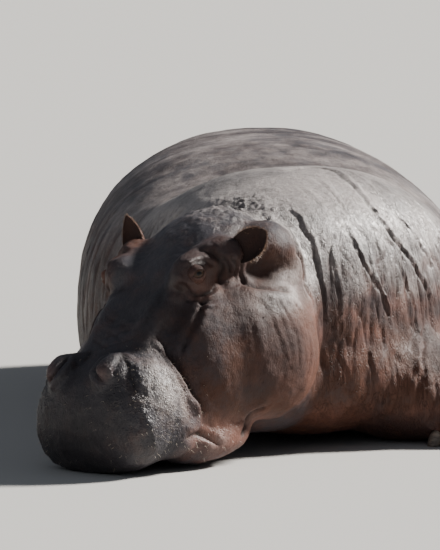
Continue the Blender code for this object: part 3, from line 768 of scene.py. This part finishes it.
flush = spots(
    ((130, 285, 220), (100, 90, 150), 28), ((230, 280, 190), (90, 90, 130), 15),
    ((340, 170, 446), (45, 45, 35), 35), ((50, 260, 160), (80, 60, 120), 18),
    ((420, 190, 40), (110, 30, 45), 65), ((300, 170, 0), (120, 70, 50), 50),
    ((690, 102, 306), (26, 22, 28), 48))
on_flank = off_head * soft_step(0.62, 0.48, height) * (0.25 + 0.75 * front)
on_flank *= 0.35 + 0.65 * soft_step(0.15, 0.38, height)
flush += on_flank * (0.30 * crease + 0.36 * np.clip(small_mottle * 1.6, 0, 1))
flush += off_head * 0.22 * soft_step(0.16, 0.05, height)
flush += 0.30 * is_ear + 0.12 * is_lid
flush += 0.20 * small_mottle * (flush > 0.05)
print("brown up to", round(float(warm.max()), 2), "flush up to", round(float(flush.max()), 2))

# %% Pale dust, and painted highlight
dust_and_highlight = off_head * soft_step(-0.15, 0.95, normals[:, 2])
dust_and_highlight *= soft_step(0.15, 0.50, height) * (0.95 + 0.5 * mottle)
dust_and_highlight += off_head * 0.34 * soft_step(0.18, 0.70, height)
# Painted highlight: the pale layer is much stronger on the front of the shoulders and neck.
dust_and_highlight *= 0.36 + 0.64 * front
dust_and_highlight += off_head * front * 0.40 * soft_step(0.34, 0.52, height)
dust_and_highlight += 0.6 * np.clip(1.5 * bell(from_withers, *NAPE), 0, 1)
# The second, third and last of these spots are painted highlight, on the top of the jowl and on the lip pad's
# ridge.
dust_and_highlight += spots(
    ((575, 190, 220), (85, 60, 105), 70), ((100, 260, 370), (130, 60, 50), 75),
    ((140, 277, 330), (100, 50, 45), 60), ((50, 200, 420), (100, 80, 100), 15),
    ((420, 195, 20), (70, 30, 30), 45), ((220, 200, 460), (50, 30, 40), 35),
    ((520, 124, 325), (50, 40, 35), 50))
dust_and_highlight *= 1 - 0.6 * crease
print("dust up to", round(float(dust_and_highlight.max()), 2))

# %% Wet parts, painted shade, and the maps on the skin
on_top = soft_step(0.30, 0.44, up) * soft_step(0.16, 0.10, np.abs(left))
wet = on_head * on_top + on_head * soft_step(0.60, 0.70, forward)
wet += spots(((340, 170, 470), (50, 40, 50), 60), ((420, 190, 45), (120, 30, 40), 80))
# Painted shade inside the ears: the faces that look out of each ear's opening are darkened.
ear_inside_shade = np.zeros(len(places))
for side in (1, -1):
    faces_out = soft_step(0.0, 0.5, normals @ np.array(ear_frame(side).to_3x3())[:, 2])
    ear_inside_shade = np.where(is_ear & (left * side > 0), faces_out, ear_inside_shade)
# Painted shade: this map darkens the insides of the ears, the right eye's mound, the hollow behind the ear, a
# patch below the eye, the front of the muzzle, a patch in front of the cheek and the jowls.
painted_shade = 0.75 * ear_inside_shade + 0.35 * right_eye_shade + spots(
    ((110, 245, 422), (105, 80, 60), 42), ((410, 160, 360), (90, 60, 60), 45),
    ((720, 0, 130), (160, 250, 200), 72), ((400, 200, 220), (100, 60, 160), 32),
    ((150, 285, 170), (150, 110, 150), 50))
# Painted shade on the flank by the elbow.
painted_shade += 0.50 * bell(from_withers, (0.38, -0.22, 0.26), (0.20, 0.25, 0.15)) * off_head
warts = spots(((600, 150, 190), (130, 110, 140), 130)) * on_head
smooth = on_head * (1 - 0.6 * np.clip(warts, 0, 1))
maps = {"crease": crease, "warm": warm, "flush": flush, "dust_and_highlight": dust_and_highlight}
maps |= {"wet": wet, "warts": warts, "painted_shade": painted_shade, "smooth": smooth}
for name, values in maps.items():
    values = np.clip(values, 0, 1)
    write_attribute(skin.data, name, values)
    print(name, "covers", round(float((values > 0.5).mean()) * 100), "% of the vertices")

# %% [markdown]
# ## The hide's material
# The hide is built up in layers: slate, then the warm brown, then the pink flush, then a pale layer of dust
# and painted highlight, and last painted shade in the creases, the wrinkles, a net of fine cracks and the
# shaded hollows. Noise breaks up every border. The same cracks raise the surface in two bumps. A thin clear
# coat makes wet parts and the dusty back glisten, and the jowls and the low flanks stay dull.

# %% A small helper for materials
class Recipe:
    """Adds nodes to a material and links them, with sockets by name or number."""

    def __init__(self, name):
        self.material = bpy.data.materials.new(name)
        self.material.use_nodes = True
        self.tree = self.material.node_tree
        self.shader = self.tree.nodes["Principled BSDF"]

    def add(self, kind, inputs=None, out=0, **settings):
        node = self.tree.nodes.new("ShaderNode" + kind)
        for key, value in settings.items():
            setattr(node, key, value)
        for key, value in (inputs or {}).items():
            self.feed(node.inputs[key], value)
        return node.outputs[out]

    def feed(self, socket, value):
        if isinstance(value, bpy.types.NodeSocket):
            self.tree.links.new(value, socket)
        else:
            socket.default_value = value

    def map(self, name):
        """One of the skin's maps."""
        return self.add("Attribute", out="Fac", attribute_name=name)

    def maths(self, operation, a, b=0.0, clamp=False):
        return self.add("Math", {0: a, 1: b}, operation=operation, use_clamp=clamp)

    def plus(self, a, b):
        return self.maths("ADD", a, b)

    def minus(self, a, b):
        return self.maths("SUBTRACT", a, b)

    def times(self, a, b):
        return self.maths("MULTIPLY", a, b)

    def most(self, a, b):
        return self.maths("MAXIMUM", a, b)

    def between(self, value, low, high, start=0.0, end=1.0):
        return self.add("MapRange", {"Value": value, "From Min": low, "From Max": high, "To Min": start,
                                     "To Max": end}, interpolation_type="SMOOTHSTEP")

    def mix(self, share, a, b, blend="MIX"):
        node = self.tree.nodes.new("ShaderNodeMix")
        node.data_type = "RGBA"
        node.blend_type = blend
        for key, value in ((0, share), (6, a), (7, b)):
            self.feed(node.inputs[key], (*value, 1) if isinstance(value, tuple) else value)
        return node.outputs[2]

    def noise(self, at, scale, detail=4.0, roughness=0.55, distortion=0.0):
        return self.add("TexNoise", {"Vector": at, "Scale": scale, "Detail": detail, "Roughness": roughness,
                                     "Distortion": distortion})

    def end(self, **inputs):
        for key, value in inputs.items():
            self.feed(self.shader.inputs[key.replace("_", " ")], value)
        return self.material


def plain_material(name, colour, roughness):
    return Recipe(name).end(Base_Color=(*colour, 1), Roughness=roughness)


# %% The hide
SLATE = (0.055, 0.052, 0.061)
BROWN = (0.084, 0.035, 0.022)
PINK = (0.310, 0.138, 0.102)
# Pale dust, also used as painted highlight.
DUST_AND_HIGHLIGHT = (0.405, 0.365, 0.352)
# Painted shade, for creases, wrinkles, cracks and shaded hollows.
CREASE_SHADE = (0.014, 0.010, 0.010)
STAIN = (0.026, 0.023, 0.026)
WART_TIP = (0.62, 0.55, 0.49)


def hide_material():
    hide = Recipe("hide")
    add, mix, noise, between = hide.add, hide.mix, hide.noise, hide.between
    plus, minus, times, most = hide.plus, hide.minus, hide.times, hide.most
    at = add("TexCoord", out="Object")
    crease, warm, flush, dust_and_highlight, wet = (hide.map(n) for n in ("crease", "warm", "flush", "dust_and_highlight", "wet"))
    warts, painted_shade, smooth = (hide.map(n) for n in ("warts", "painted_shade", "smooth"))
    broad = noise(at, 4.0, 6.0, 0.62)
    middling = noise(at, 17.0, 8.0, 0.68)
    fine = noise(at, 120.0, 3.0, 0.6)
    upright = add("Mapping", {"Vector": at, "Scale": (1.0, 1.0, 0.22)})
    streaks = noise(upright, 22.0, 5.0, 0.62)

    def wrinkles(scale, width, twist):
        """Thin wavy lines that run mostly up and down: where a drawn-out noise passes its middle."""
        swing = hide.maths("ABSOLUTE", minus(noise(upright, scale, 3.0, 0.55, twist), 0.5))
        return between(swing, 0.0, width, 1.0, 0.0)

    shift = add("TexNoise", {"Vector": at, "Scale": 24.0, "Detail": 3.0}, out="Color")
    bent = mix(0.030, at, shift)
    drawn = add("Mapping", {"Vector": bent, "Scale": (1.0, 1.0, 0.55)})
    cells = add("TexVoronoi", {"Vector": drawn, "Scale": 150.0}, feature="DISTANCE_TO_EDGE")
    scales = between(cells, 0.0, 0.14, 1.0, 0.0)
    cells = add("TexVoronoi", {"Vector": bent, "Scale": 145.0}, feature="F1")
    knobs = between(cells, 0.10, 0.55, 1.0, 0.0)
    coarse, close = wrinkles(40.0, 0.026, 0.4), wrinkles(105.0, 0.045, 0.2)
    lined = most(coarse, times(close, 0.6))
    lined = times(lined, between(middling, 0.35, 0.62, 0.20, 1.0))
    lined = times(lined, between(smooth, 0.0, 1.0, 1.0, 0.35))
    warty = times(knobs, warts)

    uneven = times(minus(middling, 0.5), 1.8)
    mixed = plus(uneven, times(minus(streaks, 0.5), 1.6))
    colour = mix(hide.maths("ADD", warm, uneven, clamp=True), SLATE, BROWN)
    flushed = plus(flush, times(mixed, 0.22))
    colour = mix(hide.maths("MULTIPLY", flushed, 0.72, clamp=True), colour, PINK)
    patchy = plus(minus(broad, 0.5), times(mixed, 0.30))
    dust_highlight_share = between(plus(dust_and_highlight, patchy), 0.15, 0.95, 0.0, 0.92)
    grain = between(plus(fine, times(uneven, 0.3)), 0.30, 0.66, 0.60, 1.0)
    # The pale layer: dust, and painted highlight on the shoulders, the jowls' tops and the lip pad's ridge.
    colour = mix(times(dust_highlight_share, grain), colour, DUST_AND_HIGHLIGHT)
    colour = mix(between(broad, 0.34, 0.58, 0.60, 0.0), colour, STAIN)
    colour = mix(times(warty, times(dust_highlight_share, 0.55)), colour, WART_TIP)
    # Painted shade: the creases, the wrinkles, the net of cracks and the map of painted shade darken the
    # colour last.
    crease_shade = times(crease, between(streaks, 0.40, 0.58, 0.25, 0.85))
    lines = most(crease_shade, times(lined, 0.55))
    lines = most(most(lines, times(scales, 0.16)), painted_shade)
    colour = mix(lines, colour, CREASE_SHADE)

    dry = plus(times(dust_highlight_share, 0.14), times(middling, 0.20))
    dry = plus(dry, plus(times(smooth, 0.10), times(painted_shade, 0.35)))
    rough = minus(plus(dry, 0.37), times(wet, 0.17))
    relief = plus(times(lined, -1.0), times(warty, 1.1))
    streaked = times(streaks, between(smooth, 0.0, 1.0, 2.2, 0.3))
    relief = plus(relief, plus(times(middling, 1.2), streaked))
    raised = add("Bump", {"Height": relief, "Strength": 0.9, "Distance": 0.0024})
    relief = plus(times(scales, -0.8), times(fine, 0.55))
    raised = add("Bump", {"Height": relief, "Strength": 0.40, "Distance": 0.0011, "Normal": raised})
    glisten = times(wet, between(middling, 0.35, 0.60, 0.15, 0.50))
    glisten = most(glisten, times(dust_highlight_share, between(smooth, 0.0, 1.0, 0.95, 0.30)))
    return hide.end(Base_Color=colour, Roughness=rough, Normal=raised, Specular_IOR_Level=0.18,
                    Coat_Weight=glisten, Coat_Roughness=0.36, Coat_Normal=raised)


HIDE = hide_material()
skin.data.materials.clear()
skin.data.materials.append(HIDE)
print("hide:", len(HIDE.node_tree.nodes), "shader nodes")

# %% [markdown]
# ## Eyes
# The eyeball is a ball with a slightly fuller front. Its poles lie along the gaze, so the rings of its mesh
# are rings round the pupil. One map of how far each vertex is from the gaze colours iris and white, and a
# second one, drawn wide, colours the pupil, which is wider than it is high. A clear coat makes it glisten.

# %% The eyes
BULGE, BULGE_REACH = 0.055, 27  # of the eye's clear front: a share of the radius, and degrees
PUPIL_WIDTH = 1.45  # of its height


def eyeball(side):
    ball = bmesh.new()
    bmesh.ops.create_uvsphere(ball, u_segments=40, v_segments=32, radius=EYE_RADIUS)
    from_gaze = []
    for vert in ball.verts:
        from_gaze.append(math.degrees(math.acos(max(-1.0, min(1.0, (vert.co / EYE_RADIUS).z)))))
        vert.co *= 1 + BULGE * math.exp(-((from_gaze[-1] / BULGE_REACH) ** 2))
    spots = [v.co / EYE_RADIUS for v in ball.verts]
    from_pupil = [math.hypot(p.x / PUPIL_WIDTH, p.y) if p.z > 0 else 1.0 for p in spots]
    ball.transform(eye_frame(side) @ Matrix(((0, 0, 1), (0, 1, 0), (-1, 0, 0))).to_4x4())
    bmesh.ops.recalc_face_normals(ball, faces=ball.faces)
    mesh = mesh_of(ball, "eye")
    shade_smooth(mesh)
    write_attribute(mesh, "from_gaze", np.array(from_gaze) / 90)
    write_attribute(mesh, "from_pupil", from_pupil)
    return mesh


def eye_material():
    eye = Recipe("eye")
    ring = eye.map("from_gaze")
    at = eye.add("TexCoord", out="Object")
    fibres = eye.noise(at, 420.0, 3.0)
    colour = eye.mix(eye.between(fibres, 0.3, 0.7), (0.022, 0.010, 0.006), (0.060, 0.028, 0.014))
    colour = eye.mix(eye.between(ring, 0.42, 0.50), colour, (0.008, 0.005, 0.004))
    colour = eye.mix(eye.between(ring, 0.52, 0.64), colour, (0.150, 0.075, 0.060))
    colour = eye.mix(eye.between(eye.map("from_pupil"), 0.20, 0.25, 1.0, 0.0), colour, (0.002, 0.002, 0.002))
    return eye.end(Base_Color=colour, Roughness=0.42, Specular_IOR_Level=0.2, Coat_Weight=0.14,
                   Coat_Roughness=0.05)


EYE = eye_material()
for side, word in ((1, "left"), (-1, "right")):
    ball = new_object(f"eyeball_{word}", eyeball(side))
    ball.data.materials.append(EYE)
    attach(ball, "root")
    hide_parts(f"eye_{word}")
    print(ball.name, "at", [round(c, 3) for c in middle(f"eye_{word}")])

# %% [markdown]
# ## Nails
# Each toe ends in a small hoof-like nail. The solids are rounded and roughened with the growth lines of horn.

# %% The nails
def nail_material():
    horn = Recipe("nail_horn")
    at = horn.add("TexCoord", out="Object")
    rings = horn.noise(horn.add("Mapping", {"Vector": at, "Scale": (1.0, 1.0, 5.0)}), 60.0, 4.0)
    stain = horn.noise(at, 22.0, 5.0, 0.6)
    colour = horn.mix(horn.between(rings, 0.3, 0.7), (0.085, 0.068, 0.055), (0.230, 0.185, 0.150))
    colour = horn.mix(horn.between(stain, 0.45, 0.70, 0.0, 0.8), colour, (0.045, 0.036, 0.030))
    raised = horn.add("Bump", {"Height": rings, "Strength": 0.6, "Distance": 0.0012})
    return horn.end(Base_Color=colour, Roughness=horn.between(stain, 0.3, 0.7, 0.38, 0.6), Normal=raised)


NAILS = sorted(n for n in nodes if n.startswith("nail_"))
soft_nails = [rounded(joined(n, [nodes[n].data], merge=True), 2) for n in NAILS]
nails = new_object("nails", joined("nails", soft_nails))
shade_smooth(nails.data)
nails.data.materials.clear()
nails.data.materials.append(nail_material())
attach(nails, "root")
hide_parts(*NAILS)
print("nails:", len(NAILS))

# %% [markdown]
# ## Bristles
# A hippopotamus has hardly any hair: stiff bristles on its lip pads, a fringe along its ears and some at the
# tip of its flat tail. Each hair is a thin cone of three sides with a bend in it, closed at both ends, and
# each group is one joined mesh. Its bake map puts each hair in its own patch on an unwrap of the skin: the
# head rolled out round its own axis in one half, and the trunk round its axis in the other.

# %% The bristles
PATCH = 0.003  # of the bake map, for one hair
HAIR_STEPS, HAIR_SIDES = 4, 3


def unwrapped(places, of_head):
    """Where places of the skin lie on its unwrap: how far back, and how far round."""
    if of_head:
        f, l, u = head_places(places).T
        start, share, round_it = 0.02, 0.80 - f, np.arctan2(l, u - 0.25)
    else:
        x, y, z = (places - np.array(BODY_START)).T
        start, share, round_it = 0.52, (y + 0.5) / 2.8, np.arctan2(x, z - 0.35)
    return np.column_stack([start + 0.45 * share, 0.5 + 0.98 * round_it / (2 * np.pi)])


def hair_faces():
    """One hair's faces: its sides, ring by ring, and its closed root and tip."""
    ring = range(HAIR_SIDES)
    faces = [tuple(reversed(ring)), tuple(HAIR_STEPS * HAIR_SIDES + i for i in ring)]
    for here in range(0, HAIR_STEPS * HAIR_SIDES, HAIR_SIDES):
        for i, j in zip(ring, (*ring[1:], 0)):
            faces.append((here + i, here + j, here + HAIR_SIDES + j, here + HAIR_SIDES + i))
    return faces


def turned_to_one(ways):
    """Ways of length one."""
    return ways / np.linalg.norm(ways, axis=1)[:, None]


def hairs(roots, ways, lengths, radius, droop, of_head):
    """Bent cones as arrays of places, faces and bake places."""
    t = np.linspace(0, 1, HAIR_STEPS + 1)
    across = turned_to_one(np.cross(ways, (0.21, 0.34, 0.92)))
    other = np.cross(ways, across)
    turns = 2 * np.pi * np.arange(HAIR_SIDES) / HAIR_SIDES
    bend = np.outer(t**2, (0, 0, -droop))
    spine = roots[:, None] + lengths[:, None, None] * (ways[:, None] * t[:, None] + bend)
    thick = radius * np.maximum(1 - t, 0.06)
    ring = across[:, None] * np.cos(turns)[:, None] + other[:, None] * np.sin(turns)[:, None]
    spots = spine[:, :, None] + ring[:, None] * thick[:, None, None]
    patch = np.stack(np.meshgrid(t, turns / (2 * np.pi), indexing="ij"), axis=-1) * PATCH
    bake = unwrapped(roots, of_head)[:, None, None] + patch
    size = (HAIR_STEPS + 1) * HAIR_SIDES
    faces = [[corner + size * k for corner in face] for k in range(len(roots)) for face in hair_faces()]
    return spots.reshape(-1, 3), faces, bake.reshape(-1, 2)


def hair_piece(name, groups, material):
    spots, faces, bake, first = [], [], [], 0
    for group_spots, group_faces, group_bake in groups:
        spots.append(group_spots)
        faces += [[corner + first for corner in face] for face in group_faces]
        bake.append(group_bake)
        first += len(group_spots)
    mesh = bpy.data.meshes.new(name)
    mesh.from_pydata(np.vstack(spots).tolist(), [], faces)
    corners = np.empty(len(mesh.loops), int)
    mesh.loops.foreach_get("vertex_index", corners)
    mesh.uv_layers.new(name="OFBake").data.foreach_set("uv", np.vstack(bake)[corners].ravel())
    mesh.materials.append(material)
    piece = new_object(name, mesh)
    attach(piece, "root")
    print(name, len(mesh.polygons), "faces")


# %% On the lip pads
LIP_HAIRS, TAIL_HAIRS, RIM_HAIRS = 460, 220, 5  # the last for each bit of the ear's rim
draw = np.random.default_rng(31)
PALE_HAIR = plain_material("pale_hair", (0.50, 0.43, 0.35), 0.5)
DARK_HAIR = plain_material("brown_hair", (0.16, 0.095, 0.060), 0.5)
lip_share = spots(((610, 160, 170), (100, 90, 120), 100), ((460, 120, 20), (140, 100, 40), 50))
lip_share *= (normals[:, 2] > -0.75) & ~is_ear & ~is_lid & (forward > 0.3)
picked = draw.choice(len(places), LIP_HAIRS, replace=False, p=lip_share / lip_share.sum())
ways = turned_to_one(normals[picked] + draw.normal(0, 0.25, (LIP_HAIRS, 3)))
lengths = draw.uniform(0.006, 0.016, LIP_HAIRS)
lip_hair = hairs(places[picked] - 0.001 * ways, ways, lengths, 0.00045, 0.35, True)
hair_piece("lip_bristles", [lip_hair], PALE_HAIR)

# %% Along the ears
fringes = []
for side, mesh in zip((1, -1), ear_meshes):
    own = ear_frame(side)
    spots = read_places(mesh)
    leaf = (spots - np.array(own.translation)) @ np.array(own.to_3x3())
    from_middle = leaf[:, :2] - (0.050, 0.0)
    turn = np.arctan2(from_middle[:, 1], from_middle[:, 0])
    reach = np.hypot(*from_middle.T)
    slices = [np.flatnonzero((turn >= a) & (turn < a + 0.05)) for a in np.arange(-2.3, 2.3, 0.05)]
    rim = np.repeat([part[reach[part].argmax()] for part in slices if len(part)], RIM_HAIRS)
    out = np.column_stack([np.cos(turn[rim]) + 0.5, np.sin(turn[rim]), 0.15 + 0 * rim])
    out = turned_to_one((out + draw.normal(0, 0.28, out.shape)) @ np.array(own.to_3x3()).T)
    roots = spots[rim] + draw.normal(0, 0.0010, (len(rim), 3)) - 0.002 * out
    fringes.append(hairs(roots, out, draw.uniform(0.006, 0.014, len(rim)), 0.00050, 0.15, True))
hair_piece("ear_fringes", fringes, DARK_HAIR)

# %% At the tip of the tail
low_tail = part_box("tail")[0]
tip = (places[:, 1] > low_tail[1]) & (np.abs(places[:, 0] - middle("tail").x) < 0.1)
tip &= (places[:, 2] > low_tail[2] - 0.01) & (places[:, 2] < low_tail[2] + 0.07)
tip_places = np.flatnonzero(tip)
picked = draw.choice(tip_places, min(TAIL_HAIRS, 4 * len(tip_places)), replace=True)
ways = turned_to_one(0.6 * normals[picked] + (0, 0.1, -0.9) + draw.normal(0, 0.15, (len(picked), 3)))
lengths = draw.uniform(0.018, 0.040, len(picked))
tail_hair = hairs(places[picked] - 0.002 * ways, ways, lengths, 0.0008, 0.2, False)
hair_piece("tail_bristles", [tail_hair], DARK_HAIR)

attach(skin, "root")
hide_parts(*FLESH, "ear_left", "ear_right")

# %% [markdown]
# ## The floor
# A museum stands such a model on a plain pale floor. It runs far back, so that it is also the backdrop.

# %% The floor
FLOOR_HALF = 150  # metres, so that its far edge is never seen
ground = bmesh.new()
bmesh.ops.create_grid(ground, x_segments=1, y_segments=1, size=FLOOR_HALF)
floor = new_object("floor", mesh_of(ground, "floor"))
floor.data.materials.append(plain_material("pale_floor", (0.44, 0.435, 0.42), 0.9))
print("floor:", 2 * FLOOR_HALF, "m wide")

# %% [markdown]
# ## The light
# The light is a studio's: one strong key high behind the animal's left side, which lights the back and the
# edge of the jowl, and a weak cool fill from the front right, so that the face stays in shade but can be
# read. Both are sun lamps with a wide disc, whose light is as even as a large softbox's from far away.

# %% The lights
KEY_POWER, FILL_POWER, ROOM_POWER = 13.0, 0.28, 0.17
world = bpy.data.worlds.new("soft_room")
bpy.context.scene.world = world
world.use_nodes = True
room = world.node_tree.nodes["Background"].inputs
room["Color"].default_value = (0.80, 0.87, 1.0, 1)
room["Strength"].default_value = ROOM_POWER


def softbox(name, towards, power, spread):
    """A broad lamp, far off. towards is the way its light travels, and spread its width in degrees."""
    lamp = bpy.data.lights.new(name, "SUN")
    lamp.energy = power
    lamp.angle = math.radians(spread)
    new_object(name, lamp).rotation_euler = Vector(towards).to_track_quat("-Z", "Y").to_euler()
    return lamp


softbox("key", (-0.78, -0.33, -0.56), KEY_POWER, 10).color = (1.0, 0.96, 0.90)
softbox("fill", (0.35, 0.80, -0.45), FILL_POWER, 60).color = (0.85, 0.92, 1.0)
print("key to fill:", round(KEY_POWER / FILL_POWER))

# %% [markdown]
# ## The camera
# A long lens from far off keeps the head and the back in proportion. It looks from low in front, a little
# from the animal's right, and the picture cuts the trunk off at its right edge.

# %% The camera
CAMERA_AIM = BODY @ Vector((-0.2216, -0.2000, 0.4740))
CAMERA_TURN = math.radians(-2)
CAMERA_LIFT = math.radians(5)
CAMERA_DISTANCE = 13.0
SEEN_HEIGHT = 1.5625  # how much of the world's height the picture shows at the aim

level = math.cos(CAMERA_LIFT)
away = Vector((math.sin(CAMERA_TURN) * level, -math.cos(CAMERA_TURN) * level, math.sin(CAMERA_LIFT)))
lens = bpy.data.cameras.new("camera")
camera = new_object("camera", lens)
lens.sensor_width = 36
lens.lens = CAMERA_DISTANCE / SEEN_HEIGHT * lens.sensor_width
lens.clip_end = 400
camera.location = CAMERA_AIM + away * CAMERA_DISTANCE
camera.rotation_mode = "QUATERNION"
camera.rotation_quaternion = (-away).to_track_quat("-Z", "Y")
bpy.context.scene.camera = camera
print("camera at", [round(c, 2) for c in camera.location], "lens", round(lens.lens))
